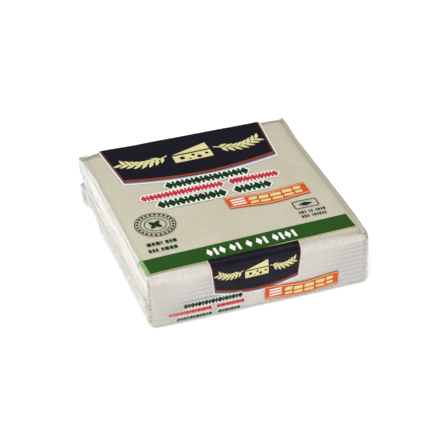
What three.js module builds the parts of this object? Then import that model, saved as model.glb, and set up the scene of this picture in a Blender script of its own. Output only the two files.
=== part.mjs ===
// A pack of sliced cheese: twelve wrapped slices in a stack, closed in one tight clear film.
//
// The film is a tube that runs left to right round the stack. At each end its sides are tucked
// in at the corners, the top and bottom panels meet in a crimped seal, and the seal lies folded
// down against the stack. The pack is sealed, so it is one solid out to the film: a rounded
// block whose front and back show a rib for each slice, and whose ends show the folds.
//
// Millimetres, +Z up. The print faces up and reads along +X, the front is at -Y, and the origin
// is the middle of the underside.

import * as THREE from "three";
import { mergeVertices } from "three/addons/utils/BufferGeometryUtils.js";

// The pack
const PACK_WIDTH = 95;
const PACK_DEPTH = 99;
const PACK_HEIGHT = 25.4;
const SLICE_COUNT = 12;
const SLICE_PITCH = PACK_HEIGHT / SLICE_COUNT;

// The rounding of its edges, where the film bends over the soft stack
const CORNER_RADIUS = 3.6;
const TOP_EDGE_RADIUS = 4.2;
const BOTTOM_EDGE_RADIUS = 3.2;

// The ribs of the slices on the front and the back
const GROOVE_DEPTH = 0.45;
const SLICE_SHIFT = 0.4;
const FACE_BOW = 0.5;

// The folded ends: heights above the table, and depths in from the outermost film
const SEAL_FOLD_HEIGHT = 11.6;
const SEAL_FREE_HEIGHT = 3.4;
const SEAL_THICKNESS = 0.9;
const CRIMP_COUNT = 6;
const CRIMP_DEPTH = 0.25;
const FOLD_GROOVE_DEPTH = 0.5;
const FOLD_GROOVE_HEIGHT = 2.2;
const SETTLED_SHARE = 0.6;
const TUCK_REACH = 11;
const TUCK_RISE = 8;
const TUCK_DEPTHS = { backLeft: 2.4, backRight: 1.5, frontLeft: 0.8, frontRight: 0.4 };

// The loose film at the corners, from 0, rounded like the block, to 1, a sharp corner
const TOP_EARS = { backLeft: 0.75, backRight: 0.35, frontLeft: 0.45, frontRight: 0.1 };
const SEAL_EARS = { backLeft: 0.7, backRight: 0.5, frontLeft: 0.3, frontRight: 0.3 };
const EAR_SIZE = 7;

// The grid that the surface is worked out on
const ROUND_STEPS = 3;
const WIDTH_STEPS = 18;
const DEPTH_STEPS = 26;
const HEIGHT_STEPS = 42;
const END_CROWDING = 0.45;

const HALF = new THREE.Vector3(PACK_WIDTH / 2, PACK_DEPTH / 2, PACK_HEIGHT / 2);

// Where one grid line of an axis lies. The last few at each end share out the rounded edge by
// angle, and those between are even, or crowd towards the ends as far as crowding says.
function gridPlace(unit, steps, half, lowRadius, highRadius, crowding) {
  const line = Math.round(((unit + 1) / 2) * steps);
  const edgeLine = Math.min(line, steps - line);
  if (edgeLine < ROUND_STEPS) {
    const radius = unit < 0 ? lowRadius : highRadius;
    const angle = ((1 - edgeLine / ROUND_STEPS) * Math.PI) / 4;
    return Math.sign(unit) * (half - radius + radius * Math.tan(angle));
  }
  const share = (line - ROUND_STEPS) / (steps - 2 * ROUND_STEPS);
  const even = 2 * share - 1;
  const crowded = even * (1 + crowding) - crowding * even ** 3;
  return THREE.MathUtils.lerp(lowRadius - half, half - highRadius, (crowded + 1) / 2);
}

// The rounded block at a grid point: the place, the way out of the surface there, and the point
// of the sharp block that it was rounded from.
function roundedBlock(grid) {
  const x = gridPlace(grid.x, WIDTH_STEPS, HALF.x, CORNER_RADIUS, CORNER_RADIUS, 0);
  const y = gridPlace(grid.y, DEPTH_STEPS, HALF.y, CORNER_RADIUS, CORNER_RADIUS, END_CROWDING);
  const z = gridPlace(grid.z, HEIGHT_STEPS, HALF.z, BOTTOM_EDGE_RADIUS, TOP_EDGE_RADIUS, 0);
  const edge = z > 0 ? TOP_EDGE_RADIUS : BOTTOM_EDGE_RADIUS;
  const radii = new THREE.Vector3(CORNER_RADIUS, CORNER_RADIUS, edge);
  const point = new THREE.Vector3(x, y, z);
  const reach = HALF.clone().sub(radii);
  const core = point.clone().clamp(reach.clone().negate(), reach);
  const out = point.clone().sub(core).divide(radii).normalize();
  const place = core.add(out.clone().multiply(radii));
  place.z += HALF.z;
  point.z += HALF.z;
  return { place, out, point };
}

// How far one slice sits out of line with the stack, between -1 and 1.
function sliceShift(index) {
  const wave = Math.sin(index * 12.9898 + 4.1) * 43758.5453;
  return 2 * (wave - Math.floor(wave)) - 1;
}

// How far the film on the front or the back lies in from the block, for the ribs of the slices.
function ribDepth(z, x) {
  const turn = Math.cos((2 * Math.PI * z) / SLICE_PITCH);
  const groove = GROOVE_DEPTH * ((1 + turn) / 2) ** 2;
  const slice = Math.min(SLICE_COUNT - 1, Math.max(0, Math.floor(z / SLICE_PITCH)));
  const shift = (SLICE_SHIFT * (1 + sliceShift(slice))) / 2;
  const bow = FACE_BOW * (2 * Math.abs(x / PACK_WIDTH)) ** 4;
  return groove + shift + bow;
}

// How far inside the corner tuck a point of an end lies, from 0 outside it to 1 in its middle.
// The tuck is a triangle above the fold: it starts at the corner and narrows towards the middle.
function tuckShare(y, z) {
  const rise = (z - SEAL_FOLD_HEIGHT) / TUCK_RISE;
  if (rise < -0.18 || rise > 1) return 0;
  const upright = rise < 0 ? 1 + rise / 0.18 : 1 - rise;
  const reach = TUCK_REACH * upright;
  const fromCorner = HALF.y - Math.abs(y);
  return THREE.MathUtils.smoothstep(reach - fromCorner, 0, 0.55 * TUCK_REACH);
}

// The name of the corner that a point belongs to, as the tables above call it.
function cornerName(point) {
  return (point.y < 0 ? "front" : "back") + (point.x < 0 ? "Left" : "Right");
}

// How far the film at an end lies in from the outermost film, for its folds and its seal.
function endDepth(corner, y, z) {
  if (z < SEAL_FREE_HEIGHT) return SEAL_THICKNESS;
  if (z < SEAL_FOLD_HEIGHT) {
    const share = (z - SEAL_FREE_HEIGHT) / (SEAL_FOLD_HEIGHT - SEAL_FREE_HEIGHT);
    return (CRIMP_DEPTH * (1 + Math.cos(2 * Math.PI * CRIMP_COUNT * share))) / 2;
  }
  const above = (z - SEAL_FOLD_HEIGHT) / FOLD_GROOVE_HEIGHT;
  const groove = above < 1 ? FOLD_GROOVE_DEPTH * Math.sin(Math.PI * above) : 0;
  const settle = SEAL_THICKNESS * THREE.MathUtils.smoothstep(above, 0, 3);
  return groove + SETTLED_SHARE * settle + TUCK_DEPTHS[corner] * tuckShare(y, z);
}

// How much of the rounding the loose film at a corner fills out: an ear at each top corner, and a
// lower one where the end of the folded seal stands out.
function earShare(corner, point) {
  const { smoothstep } = THREE.MathUtils;
  const side = smoothstep(Math.abs(point.y), HALF.y - EAR_SIZE, HALF.y);
  const end = smoothstep(Math.abs(point.x), HALF.x - EAR_SIZE, HALF.x);
  const high = smoothstep(point.z, PACK_HEIGHT - EAR_SIZE, PACK_HEIGHT);
  const seal = smoothstep(point.z, 0, SEAL_FREE_HEIGHT + 2);
  const belowFold = 1 - smoothstep(point.z, SEAL_FOLD_HEIGHT - 2, SEAL_FOLD_HEIGHT + 0.5);
  return side * end * Math.max(TOP_EARS[corner] * high, SEAL_EARS[corner] * seal * belowFold);
}

// The film's surface: the rounded block with the ribs and the folded ends pressed into it.
function filmSurface(grid) {
  const { place, out, point } = roundedBlock(grid);
  const corner = cornerName(point);
  const faces = out.y ** 2;
  const ends = THREE.MathUtils.smoothstep(Math.abs(out.x), 0.15, 0.75);
  place.lerp(point, earShare(corner, point));
  const { x, y, z } = place;
  place.y -= Math.sign(out.y) * faces * ribDepth(z, x);
  place.x -= Math.sign(out.x) * ends * endDepth(corner, y, z);
  return place;
}

function makePack() {
  const block = new THREE.BoxGeometry(2, 2, 2, WIDTH_STEPS, DEPTH_STEPS, HEIGHT_STEPS);
  block.deleteAttribute("normal");
  block.deleteAttribute("uv");
  const geometry = mergeVertices(block, 1e-4);
  const position = geometry.getAttribute("position");
  for (let i = 0; i < position.count; i++) {
    const place = filmSurface(new THREE.Vector3().fromBufferAttribute(position, i));
    position.setXYZ(i, place.x, place.y, place.z);
  }
  geometry.computeBoundingBox();
  const middle = geometry.boundingBox.getCenter(new THREE.Vector3());
  geometry.translate(-middle.x, -middle.y, -geometry.boundingBox.min.z);
  geometry.computeVertexNormals();
  return geometry;
}

const film = new THREE.MeshStandardMaterial({ color: 0xd8d3c0, roughness: 0.25, metalness: 0 });
const pack = new THREE.Mesh(makePack(), film);
pack.name = "cheese_pack";

const group = new THREE.Group();
group.add(pack);

export default group;
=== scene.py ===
# %% [markdown]
# # A pack of sliced cheese
# Twelve soft slices, each in its own crimped wrapper, lie in a stack inside one tight clear film.
# The film is a tube that runs left to right. Its sides are tucked in at the ends, where a crimped
# seal closes it and lies folded down. The print is ink on the inner side of the film.
#
# The frame holds the pack as one solid out to the film. Here that solid is replaced by what the
# real pack has: the film, the wrappers, the slices and the ink, each as a piece of its own.

# %% The frame
import math

import bpy
import numpy as np
from mathutils import Matrix, Vector
from mathutils.geometry import delaunay_2d_cdt


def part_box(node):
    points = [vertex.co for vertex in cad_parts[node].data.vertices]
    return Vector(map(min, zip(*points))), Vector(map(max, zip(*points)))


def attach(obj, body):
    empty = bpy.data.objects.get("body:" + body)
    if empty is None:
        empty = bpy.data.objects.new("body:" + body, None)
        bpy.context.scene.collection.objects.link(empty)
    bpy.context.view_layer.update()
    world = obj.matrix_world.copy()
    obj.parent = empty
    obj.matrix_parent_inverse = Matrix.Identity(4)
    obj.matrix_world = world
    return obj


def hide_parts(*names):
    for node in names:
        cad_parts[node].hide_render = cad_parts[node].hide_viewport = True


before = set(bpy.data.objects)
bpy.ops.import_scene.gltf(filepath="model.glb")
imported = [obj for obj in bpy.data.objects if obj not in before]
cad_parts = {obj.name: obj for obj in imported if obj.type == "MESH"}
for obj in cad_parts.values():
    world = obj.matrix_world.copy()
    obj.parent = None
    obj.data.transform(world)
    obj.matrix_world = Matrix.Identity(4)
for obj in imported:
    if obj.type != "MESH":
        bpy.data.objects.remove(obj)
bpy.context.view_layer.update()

MM = 0.001
LOW, HIGH = (np.array(corner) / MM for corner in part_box("cheese_pack"))
HALF = (HIGH - LOW) / 2
HEIGHT = 2 * HALF[2]
print("pack, mm:", (HIGH - LOW).round(2))

# %% [markdown]
# ## Numbers of the film
# The stack is soft, so the film rounds its edges. All sizes are in millimetres. The first ones
# are those that the frame's solid was made from, so that the film fits it. The others are what
# only thin film does, and are too fine for the solid. A pair says where something starts and
# where it is full, measured from the pack's middle or, upwards, from the table.

# %% Sizes that the solid has too
SLICE_COUNT = 12
SLICE_PITCH = HEIGHT / SLICE_COUNT

CORNER_RADIUS = 3.6
TOP_EDGE_RADIUS = 4.2
BOTTOM_EDGE_RADIUS = 3.2

GROOVE_DEPTH = 0.45
SLICE_SHIFT = 0.4
FACE_BOW = 0.5

SEAL_FOLD_HEIGHT = 11.6
SEAL_FREE_HEIGHT = 3.4
SEAL_THICKNESS = 0.9
CRIMP_COUNT = 6
CRIMP_DEPTH = 0.25
FOLD_GROOVE_DEPTH = 0.5
FOLD_GROOVE_HEIGHT = 2.2
SETTLED_SHARE = 0.6
TUCK_REACH = 11
TUCK_RISE = 8
TUCK_FLARE = 0.18
TUCK_SOFTNESS = 0.55
TUCK_DEPTHS = {(-1, 1): 2.4, (1, 1): 1.5, (-1, -1): 0.8, (1, -1): 0.4}
EAR_SIZE = 7

# %% Sizes that only the film has
TIGHT_SHARE = 0.2

TOP_EARS = {(-1, 1): 1.0, (1, 1): 0.12, (-1, -1): 0.2, (1, -1): 0.0}
TOP_EAR_STARTS = {(-1, 1): 12.2, (1, 1): 18.4, (-1, -1): 18.4, (1, -1): 18.4}
TOP_EAR_RISES = {(-1, 1): 3.5, (1, 1): 7, (-1, -1): 7, (1, -1): 7}
SEAL_EARS = {(-1, 1): 1.0, (1, 1): 0.6, (-1, -1): 0.3, (1, -1): 0.0}
EAR_STIFFNESS = 0.9
EAR_DROOP = 1.3
CORNER_SAG = 0.6

SLUMP_RADIUS = 1.02
SLUMP_ALONG, SLUMP_ACROSS = (30, 44), (32, 46)
BACK_TIGHTNESS, BACK_EDGE = 0.4, (30, 44)
LEFT_TIGHTNESS, LEFT_EDGE = 0.45, (20, 38)
TOP_SWELL = 0.75

PINCH_DEPTH = 1.0
PINCH_START, PINCH_END = (18, 34), (41, 46)
CALM_DEPTH = 0.15
CALM_SHARE = 0.95
CALM_ACROSS = (28, 44)
# %% Small helpers for numbers
def ramp(value, start, end):
    """0 before start, 1 after end, and a smooth rise between them."""
    share = np.clip((value - start) / (end - start), 0, 1)
    return share * share * (3 - 2 * share)


def waves(points, size, seed, count=7):
    """A smooth uneven value between about -1 and 1, with bumps of about that size."""
    draw = np.random.default_rng(seed)
    total = np.zeros(len(points))
    for _ in range(count):
        way = draw.normal(size=3)
        way *= 2 * math.pi / size / np.linalg.norm(way) * draw.uniform(0.6, 1.5)
        total += np.sin(points @ way + draw.uniform(0, 2 * math.pi))
    return total / math.sqrt(count)


def unit(vectors):
    """The same directions at a length of 1."""
    return vectors / np.maximum(np.linalg.norm(vectors, axis=1), 1e-9)[:, None]


def by_corner(table, x, y):
    """The value that a table gives for the corner that each point belongs to."""
    result = np.zeros(len(x))
    for (side, end), value in table.items():
        result[(np.sign(x) == side) & (np.sign(y) == end)] = value
    return result


# %% [markdown]
# ## The film's surface
# Every piece here has to agree on where the film is: the film itself, the ink under it, the
# slices that must stay inside it. So the surface is one function, and not a modelled mesh. It
# takes points of a sharp block, rounds the block's edges and presses the ribs and folds into it.

# %% The rounded block
def round_off(point, radii_at):
    """The rounded block's place for points of the sharp block, and the way out of it there."""
    centred = point - [0, 0, HALF[2]]
    radii = radii_at(centred)
    reach = HALF - radii
    core = np.clip(centred, -reach, reach)
    out = unit((centred - core) / radii)
    return core + out * radii + [0, 0, HALF[2]], out


def film_radii(centred):
    """The radius of the film's rounding along x, y and z at each point.

    At the right front the stack has slumped a little, so it is rounder there. Along the back and
    the left the film is pulled tighter over the top edge.
    """
    x, y, z = centred.T
    slump = SLUMP_RADIUS * ramp(x, *SLUMP_ALONG) * ramp(-y, *SLUMP_ACROSS)
    slump *= ramp(z, -12, -7) * (1 + ramp(z, 0, 8))
    pulled = BACK_TIGHTNESS * ramp(y, *BACK_EDGE) + LEFT_TIGHTNESS * ramp(-x, *LEFT_EDGE)
    tight = 1 - ramp(z, 0, 6) * pulled
    corner = CORNER_RADIUS * tight + slump
    edge = np.where(z > 0, TOP_EDGE_RADIUS, BOTTOM_EDGE_RADIUS) * tight + slump / 2
    return np.stack([corner, corner, edge], axis=1)


# %% The ribs on the front and back
slice_numbers = np.arange(SLICE_COUNT)
SLICE_SHIFTS = np.modf(np.abs(np.sin(slice_numbers * 12.9898 + 4.1) * 43758.5453))[0]


def rib_depth(z, x):
    """How far the film of the front and back lies in from the block, for the slices' ribs.

    The film is pulled tight over the ribs, so it follows them by only a share of their depth.
    """
    turn = np.cos(2 * math.pi * z / SLICE_PITCH)
    groove = GROOVE_DEPTH * ((1 + turn) / 2) ** 2
    row = z / SLICE_PITCH - 0.5
    shift = np.interp(row, slice_numbers, SLICE_SHIFT * SLICE_SHIFTS)
    bow = FACE_BOW * np.abs(x / HALF[0]) ** 4
    return TIGHT_SHARE * (groove + shift) + bow


# %% The folded ends
def tuck_share(y, z):
    """1 in the middle of a corner's tuck and 0 outside it. The tuck is a triangle on the fold."""
    rise = (z - SEAL_FOLD_HEIGHT) / TUCK_RISE
    upright = np.where(rise < 0, 1 + rise / TUCK_FLARE, 1 - rise)
    from_corner = HALF[1] - np.abs(y)
    inside = ramp(TUCK_REACH * upright - from_corner, 0, TUCK_SOFTNESS * TUCK_REACH)
    return np.where((rise < -TUCK_FLARE) | (rise > 1), 0, inside)


def pinch_depth(x, y, z):
    """How far the left end is drawn in next to the loose end of its seal at the back."""
    beside = ramp(y, *PINCH_START) * (1 - ramp(y, *PINCH_END)) * (x < 0)
    return PINCH_DEPTH * beside * (1 - ramp(z, 7, 11.5))


def calm_share(x, y):
    """1 at the right front corner, where the film lies smooth, and 0 away from it."""
    return ramp(x, 0, 1) * ramp(-y, *CALM_ACROSS)


def end_depth(x, y, z):
    """How far the film of an end lies in from the outermost film, behind its folded seal."""
    above = (z - SEAL_FOLD_HEIGHT) / FOLD_GROOVE_HEIGHT
    groove = FOLD_GROOVE_DEPTH * np.sin(math.pi * np.clip(above, 0, 1))
    settle = SETTLED_SHARE * SEAL_THICKNESS * ramp(above, 0, 3) * (1 - TOP_SWELL * ramp(z, 17, 23))
    tuck = by_corner(TUCK_DEPTHS, x, y) * tuck_share(y, z)
    behind = SEAL_THICKNESS * (1 - ramp(above, -0.4, 0.1))
    behind = behind * (1 - ramp(np.abs(y), HALF[1] - 6.5, HALF[1] - 3.5)) + pinch_depth(x, y, z)
    calm = calm_share(x, y)
    folds = np.where(z < SEAL_FOLD_HEIGHT, behind, groove + settle) + tuck
    return folds * (1 - CALM_SHARE * calm) + CALM_DEPTH * calm


def ear_share(point):
    """How much of the rounding the loose film at a corner fills out."""
    x, y, z = np.abs(point[:, 0]), np.abs(point[:, 1]), point[:, 2]
    reach = ramp(y, HALF[1] - EAR_SIZE, HALF[1]) * ramp(x, HALF[0] - EAR_SIZE, HALF[0])
    high, start, rise, low = (
        by_corner(table, point[:, 0], point[:, 1])
        for table in (TOP_EARS, TOP_EAR_STARTS, TOP_EAR_RISES, SEAL_EARS)
    )
    high = high * ramp(z, start, start + np.maximum(rise, 1))
    low = low * ramp(z, 0, SEAL_FREE_HEIGHT + 2)
    low *= 1 - ramp(z, SEAL_FOLD_HEIGHT - 2, SEAL_FOLD_HEIGHT + 0.5)
    return reach * np.maximum(high, low)


def corner_sag(x, y, z):
    """How far the top sinks towards its loose corner at the back left."""
    return CORNER_SAG * ramp(-x, 15, 47) * ramp(y, 10, 49) * ramp(z, 16, 25)


# %% [markdown]
# ## Creases
# A film that is folded by a machine keeps small sharp creases. Each one here is a straight
# line on an end of the pack with a rounded ridge along it. Their places are drawn once with a
# fixed seed, mostly along the pack, because the seal pulls the film that way.

# %% Creases of the ends
CREASES_PER_END = 26
CREASE_SIZES = ((4, 16), (0.22, 0.5), (0.06, 0.22))


def draw_creases(seed):
    """Each crease as its middle (y, z), its direction, half length, width and height."""
    draw = np.random.default_rng(seed)
    creases = []
    for _ in range(CREASES_PER_END):
        middle = np.array([draw.uniform(-42, 42), draw.uniform(12.5, 22.5)])
        turn = math.radians(draw.normal(0, 9))
        size = [draw.uniform(*limits) for limits in CREASE_SIZES]
        creases.append((middle, turn, *size))
    for side in (-1, 1):
        corner = np.array([side * (HALF[1] - 5), SEAL_FOLD_HEIGHT + 4.5])
        creases.append((corner, math.radians(-side * 40), 7.5, 0.4, 0.35))
        creases.append((corner + [side * -4, 1], math.radians(-side * 31), 6.5, 0.3, 0.22))
    return creases


END_CREASES = {-1: draw_creases(3), 1: draw_creases(8)}


def crease_height(side, y, z):
    """How far the creases of one end stand out at each point. They fade to the front."""
    total = np.zeros(len(y))
    for middle, turn, half_length, width, height in END_CREASES[side]:
        along = (y - middle[0]) * math.cos(turn) + (z - middle[1]) * math.sin(turn)
        across = (z - middle[1]) * math.cos(turn) - (y - middle[0]) * math.sin(turn)
        across = across + 0.25 * np.sin(along * 0.7 + middle[0])
        fade = 1 - ramp(np.abs(along), 0.5 * half_length, half_length)
        total += height * fade / (1 + (across / width) ** 2) ** 2
    if side > 0:
        return total * (1 - ramp(z, 13, 18)) * (1 - ramp(-y, *CALM_ACROSS))
    return total * (1 - 0.7 * ramp(-y, 34, 46))


# %% The whole surface
FLOOR_GAP = 0.28
TOP_WAVER = 0.05
SKIN = 0.01


def film_place(point):
    """The place on the film for points of the sharp block, in millimetres."""
    place, out = round_off(point, film_radii)
    share = ear_share(point)
    place += (point - place) * share[:, None]
    x, y, z = place.T.copy()
    faces = out[:, 1] ** 2
    ends = ramp(np.abs(out[:, 0]), 0.15, 0.75)
    top = np.clip(out[:, 2], 0, 1)
    crease = np.where(x < 0, crease_height(-1, y, z), crease_height(1, y, z))
    place[:, 1] -= np.sign(out[:, 1]) * faces * rib_depth(z, x)
    depth = end_depth(x, y, z) * (1 - EAR_STIFFNESS * share) - crease
    place[:, 0] -= np.sign(out[:, 0]) * ends * np.maximum(depth, 0.02)
    place[:, 2] -= top * TOP_WAVER * (1 + waves(place, 26, 5))
    place[:, 2] -= corner_sag(x, y, z) + EAR_DROOP * share * ramp(z, 18, 25)
    place[:, 2] += FLOOR_GAP * (1 - ramp(z, 0, 2.5))
    return np.clip(place, LOW + SKIN, HIGH - SKIN)


# %% [markdown]
# ## Meshes from points
# The skin of a block is made of six grids whose shared edges are merged, so it is closed. Its
# grid lines are close together where the surface bends and far apart where it is flat.

# %% A block's skin
def grid_quads(shape, rows_first=True):
    """The quads between a grid's points. Each goes round by way of the next row or column."""
    index = np.arange(shape[0] * shape[1]).reshape(shape)
    start, next_row, end, next_column = index[:-1, :-1], index[1:, :-1], index[1:, 1:], index[:-1, 1:]
    way = (start, next_row, end, next_column) if rows_first else (start, next_column, end, next_row)
    return np.stack(way, axis=-1).reshape(-1, 4)


def edge_lines(half, low_radius, high_radius, round_lines, step):
    """Grid lines along one side of a block: close ones in its rounded edges, even ones between."""
    angles = np.linspace(0, math.pi / 4, round_lines + 1)[1:]
    middle_length = 2 * half - low_radius - high_radius
    middle = np.linspace(0, middle_length, max(2, round(middle_length / step) + 1))
    low = low_radius * (1 - np.tan(angles[::-1]))
    high = high_radius * np.tan(angles)
    return np.concatenate([low, low_radius + middle, 2 * half - high_radius + high]) - half


def block_skin(lines):
    """The six faces of a block as one closed skin: its points, and its quads seen from outside."""
    points, quads, first = [], [], 0
    for axis in range(3):
        one, other = (axis + 1) % 3, (axis + 2) % 3
        a, b = np.meshgrid(lines[one], lines[other], indexing="ij")
        for end in (0, -1):
            sheet = np.empty((a.size, 3))
            sheet[:, one], sheet[:, other], sheet[:, axis] = a.ravel(), b.ravel(), lines[axis][end]
            quad = first + grid_quads(a.shape)
            quads.append(quad if end else quad[:, ::-1])
            points.append(sheet)
            first += a.size
    merged, number = np.unique(np.concatenate(points).round(5), axis=0, return_inverse=True)
    return merged, number.ravel()[np.concatenate(quads)]


# %% From arrays to a piece
THIN_RIM = math.radians(50)


def make_piece(name, points, faces, material, smooth=True, sheet=False):
    """A Blender object from points in millimetres and faces of one size.

    A sheet's rim is kept sharp, or its shading would darken the sheet next to the rim.
    """
    faces = np.asarray(faces)
    mesh = bpy.data.meshes.new(name)
    mesh.vertices.add(len(points))
    mesh.vertices.foreach_set("co", (np.asarray(points) * MM).astype(np.float32).ravel())
    mesh.loops.add(faces.size)
    mesh.loops.foreach_set("vertex_index", faces.ravel().astype(np.int32))
    mesh.polygons.add(len(faces))
    starts = np.arange(0, faces.size, faces.shape[1], dtype=np.int32)
    mesh.polygons.foreach_set("loop_start", starts)
    mesh.update(calc_edges=True)
    mesh.validate()
    mesh.polygons.foreach_set("use_smooth", np.full(len(mesh.polygons), smooth))
    if sheet:
        mesh.set_sharp_from_angle(angle=THIN_RIM)
    mesh.materials.append(material)
    piece = bpy.data.objects.new(name, mesh)
    bpy.context.scene.collection.objects.link(piece)
    print(f"{name}: {len(mesh.vertices)} points, {len(mesh.polygons)} faces")
    return piece


def add_weights(piece, name, values):
    """Keeps one number for each point of a piece, for its material to read."""
    layer = piece.data.attributes.new(name, "FLOAT", "POINT")
    layer.data.foreach_set("value", np.asarray(values, dtype=np.float32))


def thicken(front, back, faces):
    """A thin closed sheet from its two sides, with a wall round each free edge."""
    faces = np.asarray(faces)
    count, corners = len(front), faces.shape[1]
    edges = np.stack([faces, np.roll(faces, -1, axis=1)], axis=-1).reshape(-1, 2)
    keys = np.sort(edges, axis=1) @ [count, 1]
    _, where, uses = np.unique(keys, return_index=True, return_counts=True)
    rim = edges[where[uses == 1]]
    wall = np.stack([rim[:, 1], rim[:, 0], rim[:, 0] + count, rim[:, 1] + count], axis=-1)
    if corners == 3:
        wall = np.concatenate([wall[:, [0, 1, 2]], wall[:, [0, 2, 3]]])
    return np.concatenate([front, back]), np.concatenate([faces, faces[:, ::-1] + count, wall])


# %% [markdown]
# ## Materials
# The film, the wrappers and the seals all show the same thing: fine crinkles that break up the
# gloss, and a milky veil where the film is doubled or touches what is under it. That is one node
# group with its own numbers in each material. The group gives only masks and a normal, and each
# material mixes its own shaders.

# %% Node helpers
def set_inputs(node, values):
    """Sets a node's inputs, each given by its name or number. A socket is linked."""
    for name, value in values.items():
        if isinstance(value, bpy.types.NodeSocket):
            node.id_data.links.new(value, node.inputs[name])
        else:
            node.inputs[name].default_value = value


def add_node(tree, kind, inputs=None, **settings):
    """A node of that kind with its settings and its inputs."""
    node = tree.nodes.new(kind)
    for name, value in settings.items():
        setattr(node, name, value)
    set_inputs(node, inputs or {})
    return node


def math_node(tree, operation, *values, clamp=False):
    """A Math node on numbers or sockets. Returns its output."""
    inputs = dict(enumerate(values))
    return add_node(tree, "ShaderNodeMath", inputs, operation=operation, use_clamp=clamp).outputs[0]


def object_place(tree):
    """The place on the piece, as a socket."""
    return add_node(tree, "ShaderNodeTexCoord").outputs["Object"]


def add_noise(tree, place, inputs):
    """Noise at a place. Returns its value."""
    inputs = {"Vector": place, **inputs}
    return add_node(tree, "ShaderNodeTexNoise", inputs, noise_dimensions="3D").outputs["Fac"]


def mix_shaders(tree, share, one, other):
    """Lays a share of the other node's shader over that of the one."""
    return add_node(tree, "ShaderNodeMixShader", {0: share, 1: one.outputs[0], 2: other.outputs[0]})


def new_group(name, inputs, outputs):
    """A shader node group with those inputs, numbers or vectors, and those outputs."""
    group = bpy.data.node_groups.new(name, "ShaderNodeTree")
    for label, value in inputs.items():
        kind = "NodeSocketVector" if isinstance(value, tuple) else "NodeSocketFloat"
        socket = group.interface.new_socket(label, in_out="INPUT", socket_type=kind)
        socket.default_value = value
    for label, kind in outputs.items():
        group.interface.new_socket(label, in_out="OUTPUT", socket_type=kind)
    return group, add_node(group, "NodeGroupInput").outputs, add_node(group, "NodeGroupOutput")
# %% The crinkles of thin film
def make_crinkle_group():
    """Crinkle normals, a cloudy veil and streaks, on Object coordinates."""
    group, given, result = new_group(
        "film_crinkle",
        {
            "Crinkle Scale": 90.0, "Crinkle Depth": 0.3, "Cloud Scale": 60.0,
            "Cloud Contrast": 1.0, "Streak Scale": (260.0, 22.0, 420.0),
        },
        {"Normal": "NodeSocketVector", "Cloud": "NodeSocketFloat", "Streak": "NodeSocketFloat"},
    )
    place = object_place(group)
    fine = add_noise(group, place, {
        "Scale": given["Crinkle Scale"], "Detail": 5.0, "Roughness": 0.6, "Distortion": 0.6,
    })
    bump = add_node(group, "ShaderNodeBump", {
        "Strength": given["Crinkle Depth"], "Distance": 0.0004, "Height": fine,
    })
    cloud = add_noise(group, place, {
        "Scale": given["Cloud Scale"], "Detail": 3.0, "Roughness": 0.55, "Distortion": 1.2,
    })
    spread = math_node(group, "SUBTRACT", cloud, 0.5)
    spread = math_node(group, "MULTIPLY", spread, given["Cloud Contrast"])
    drawn_out = add_node(
        group, "ShaderNodeVectorMath", {0: place, 1: given["Streak Scale"]}, operation="MULTIPLY"
    )
    set_inputs(result, {
        "Normal": bump.outputs["Normal"],
        "Cloud": math_node(group, "ADD", spread, 0.5, clamp=True),
        "Streak": add_noise(group, drawn_out.outputs["Vector"], {
            "Scale": 1.0, "Detail": 3.0, "Roughness": 0.6,
        }),
    })
    return group


CRINKLE = make_crinkle_group()
# %% [markdown]
# ### Clear film
# Clear film is nearly nothing: light goes straight through, apart from a sharp mirror image that
# grows at grazing angles and a faint milky veil. So the material mixes three shaders. A Glass
# shader would bend light as a solid block of glass does, which is wrong for a thin skin. Where
# film lies in folds, the veil is thick, and the piece says how thick in its own attribute.

# %% The film's material
# Painted shade: a grey veil for film that hangs free and for film seen edge on.
PAINTED_SHADE_VEIL = 0.7
PAINTED_SHADE_GREY = (0.46, 0.46, 0.455)
EDGE_ON_SHADE_START = 0.62
STRAIGHT_ON_SHINE = 0.008
GRAZING_SHINE = 0.8
LAYER_SHINE = 0.05


def new_material(name):
    """A material with an empty node tree and an output."""
    material = bpy.data.materials.new(name)
    material.use_nodes = True
    material.node_tree.nodes.clear()
    return material, material.node_tree, add_node(material.node_tree, "ShaderNodeOutputMaterial")


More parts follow.
